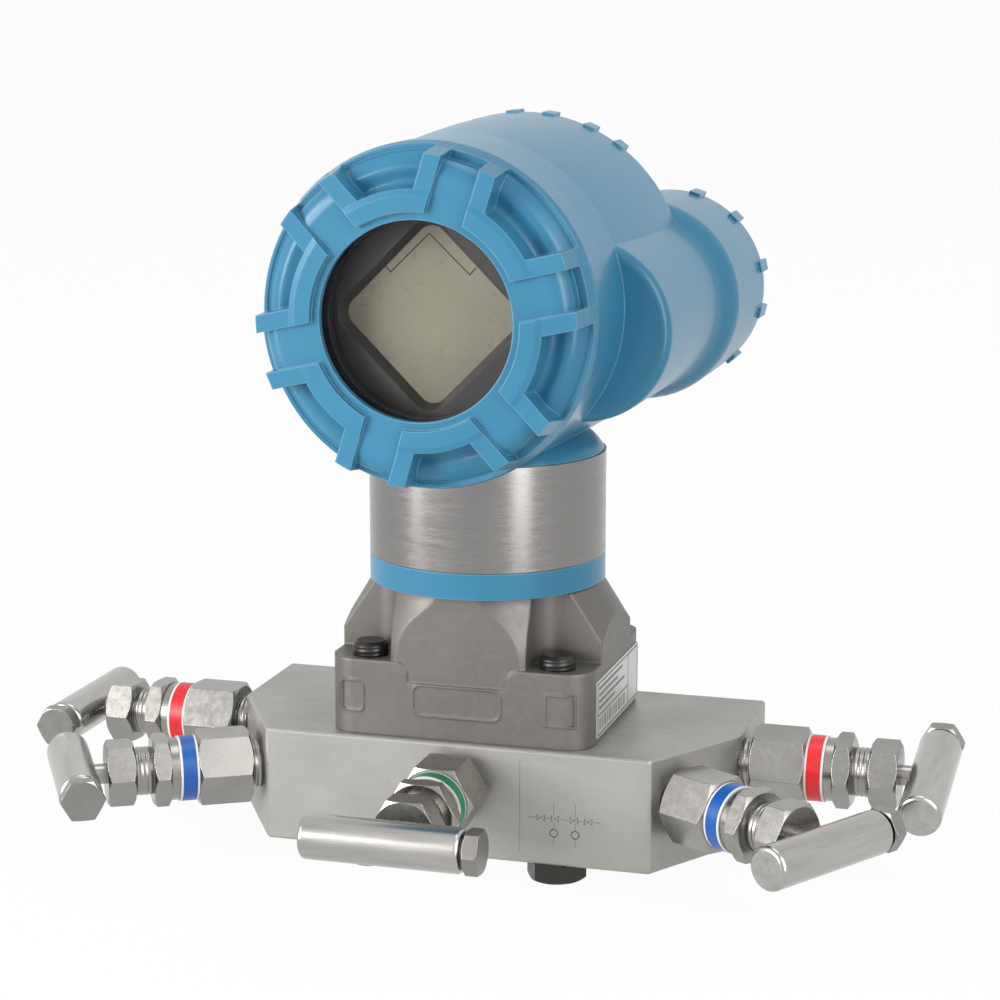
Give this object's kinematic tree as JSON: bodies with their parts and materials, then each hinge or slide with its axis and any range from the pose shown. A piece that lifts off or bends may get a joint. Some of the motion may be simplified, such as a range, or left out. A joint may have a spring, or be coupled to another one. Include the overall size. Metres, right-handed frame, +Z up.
{
  "type": "pressure transmitter",
  "caption": "Differential pressure transmitter: round display head with a side battery barrel on a cast sensor body, bolted to a block manifold with T-handled needle valves.",
  "frame": {"origin": "centre of the manifold block's underside, below the head's turning axis", "axes": "+X to the right along the block, -Y to the front where the display looks, +Z up"},
  "size_m": [0.315, 0.2089, 0.2464],
  "materials": {
    "machined_steel": "milled",
    "cast_steel": "satin cast",
    "turned_steel": "turned",
    "dark_steel": "black oxide",
    "blue_paint": "semi-gloss paint on a casting",
    "label_plate": "satin",
    "black_rubber": "moulded",
    "white_seal": "moulded",
    "red_band": "moulded",
    "blue_band": "moulded",
    "green_band": "moulded",
    "window_glass": "clear",
    "dark_plastic": "moulded",
    "lcd": "display",
    "board": "lacquered"
  },
  "bodies": {
    "manifold": {"manifold_block": "machined_steel", "flange_bolts": "dark_steel", "process_seals": "white_seal", "isolating_diaphragms": "turned_steel", "sensor_body": "cast_steel", "side_label": "label_plate", "sensor_neck": "turned_steel", "neck_seal": "black_rubber", "sensor_connector": "dark_plastic", "valve_bonnets": "turned_steel", "isolate_bands": "red_band", "vent_bands": "blue_band", "equalize_band": "green_band", "lock_nuts": "turned_steel", "packing_nuts": "turned_steel", "packing_rings": "white_seal"},
    "head": {"housing": "blue_paint", "housing_set_screw": "turned_steel", "label_band": "turned_steel", "display_bezel": "dark_plastic", "lcd_panel": "lcd", "electronics_board": "board", "board_screws": "turned_steel", "battery_contact": "dark_plastic", "power_module": "dark_plastic"},
    "display_seal": {"display_cover_seal": "black_rubber"},
    "display_cover": {"display_cover": "blue_paint", "display_window": "window_glass", "window_ring": "turned_steel"},
    "battery_seal": {"battery_cover_seal": "black_rubber"},
    "battery_cover": {"battery_cover": "blue_paint"},
    "left_isolate_tip": {"left_isolate_tip": "turned_steel"},
    "left_isolate_handle": {"left_isolate_stem": "turned_steel", "left_isolate_handle": "turned_steel", "left_isolate_handle_bolt": "turned_steel"},
    "left_vent_tip": {"left_vent_tip": "turned_steel"},
    "left_vent_handle": {"left_vent_stem": "turned_steel", "left_vent_handle": "turned_steel", "left_vent_handle_bolt": "turned_steel"},
    "equalize_tip": {"equalize_tip": "turned_steel"},
    "equalize_handle": {"equalize_stem": "turned_steel", "equalize_handle": "turned_steel", "equalize_handle_bolt": "turned_steel"},
    "right_vent_tip": {"right_vent_tip": "turned_steel"},
    "right_vent_handle": {"right_vent_stem": "turned_steel", "right_vent_handle": "turned_steel", "right_vent_handle_bolt": "turned_steel"},
    "right_isolate_tip": {"right_isolate_tip": "turned_steel"},
    "right_isolate_handle": {"right_isolate_stem": "turned_steel", "right_isolate_handle": "turned_steel", "right_isolate_handle_bolt": "turned_steel"}
  },
  "joints": [
    {"name": "head_turn", "type": "hinge", "parent": "manifold", "child": "head", "pos_m": [0, 0, 0.1], "axis": [0, 0, 1], "range_deg": [-180, 180]},
    {"name": "display_cover_travel", "type": "slide", "parent": "head", "child": "display_seal", "axis": [0, -1, 0], "range_m": [0, 0.009]},
    {"name": "display_cover_turn", "type": "hinge", "parent": "display_seal", "child": "display_cover", "pos_m": [0, -0.05, 0.1821], "axis": [0, -1, 0], "range_deg": [0, 2160]},
    {"name": "battery_cover_travel", "type": "slide", "parent": "head", "child": "battery_seal", "axis": [0, 1, 0], "range_m": [0, 0.009]},
    {"name": "battery_cover_turn", "type": "hinge", "parent": "battery_seal", "child": "battery_cover", "pos_m": [0.0394, 0.09, 0.1746], "axis": [0, 1, 0], "range_deg": [0, 2160]},
    {"name": "left_isolate_lift", "type": "slide", "parent": "manifold", "child": "left_isolate_tip", "axis": [-1, 0, 0], "range_m": [0, 0.003]},
    {"name": "left_isolate_turn", "type": "hinge", "parent": "left_isolate_tip", "child": "left_isolate_handle", "pos_m": [-0.0875, 0.00475, 0.0273], "axis": [-1, 0, 0], "range_deg": [0, 1080]},
    {"name": "left_vent_lift", "type": "slide", "parent": "manifold", "child": "left_vent_tip", "axis": [-0.8616, -0.5075, 0], "range_m": [0, 0.003]},
    {"name": "left_vent_turn", "type": "hinge", "parent": "left_vent_tip", "child": "left_vent_handle", "pos_m": [-0.07209, -0.02782, 0.0226], "axis": [-0.8616, -0.5075, 0], "range_deg": [0, 1080]},
    {"name": "equalize_lift", "type": "slide", "parent": "manifold", "child": "equalize_tip", "axis": [0, -1, 0], "range_m": [0, 0.003]},
    {"name": "equalize_turn", "type": "hinge", "parent": "equalize_tip", "child": "equalize_handle", "pos_m": [0, -0.0385, 0.02465], "axis": [0, -1, 0], "range_deg": [0, 1080]},
    {"name": "right_vent_lift", "type": "slide", "parent": "manifold", "child": "right_vent_tip", "axis": [0.8616, -0.5075, 0], "range_m": [-0.002, 0.001]},
    {"name": "right_vent_turn", "type": "hinge", "parent": "right_vent_tip", "child": "right_vent_handle", "pos_m": [0.07209, -0.02782, 0.0226], "axis": [0.8616, -0.5075, 0], "range_deg": [-720, 360]},
    {"name": "right_isolate_lift", "type": "slide", "parent": "manifold", "child": "right_isolate_tip", "axis": [1, 0, 0], "range_m": [0, 0.003]},
    {"name": "right_isolate_turn", "type": "hinge", "parent": "right_isolate_tip", "child": "right_isolate_handle", "pos_m": [0.0875, 0.00475, 0.0273], "axis": [1, 0, 0], "range_deg": [0, 1080]}
  ],
  "couplings": [
    {"joint": "display_cover_travel", "follows": "display_cover_turn", "m_per_rad": 0.00023873},
    {"joint": "battery_cover_travel", "follows": "battery_cover_turn", "m_per_rad": 0.00023873},
    {"joint": "left_isolate_lift", "follows": "left_isolate_turn", "m_per_rad": 0.00015915},
    {"joint": "left_vent_lift", "follows": "left_vent_turn", "m_per_rad": 0.00015915},
    {"joint": "equalize_lift", "follows": "equalize_turn", "m_per_rad": 0.00015915},
    {"joint": "right_vent_lift", "follows": "right_vent_turn", "m_per_rad": 0.00015915},
    {"joint": "right_isolate_lift", "follows": "right_isolate_turn", "m_per_rad": 0.00015915}
  ]
}
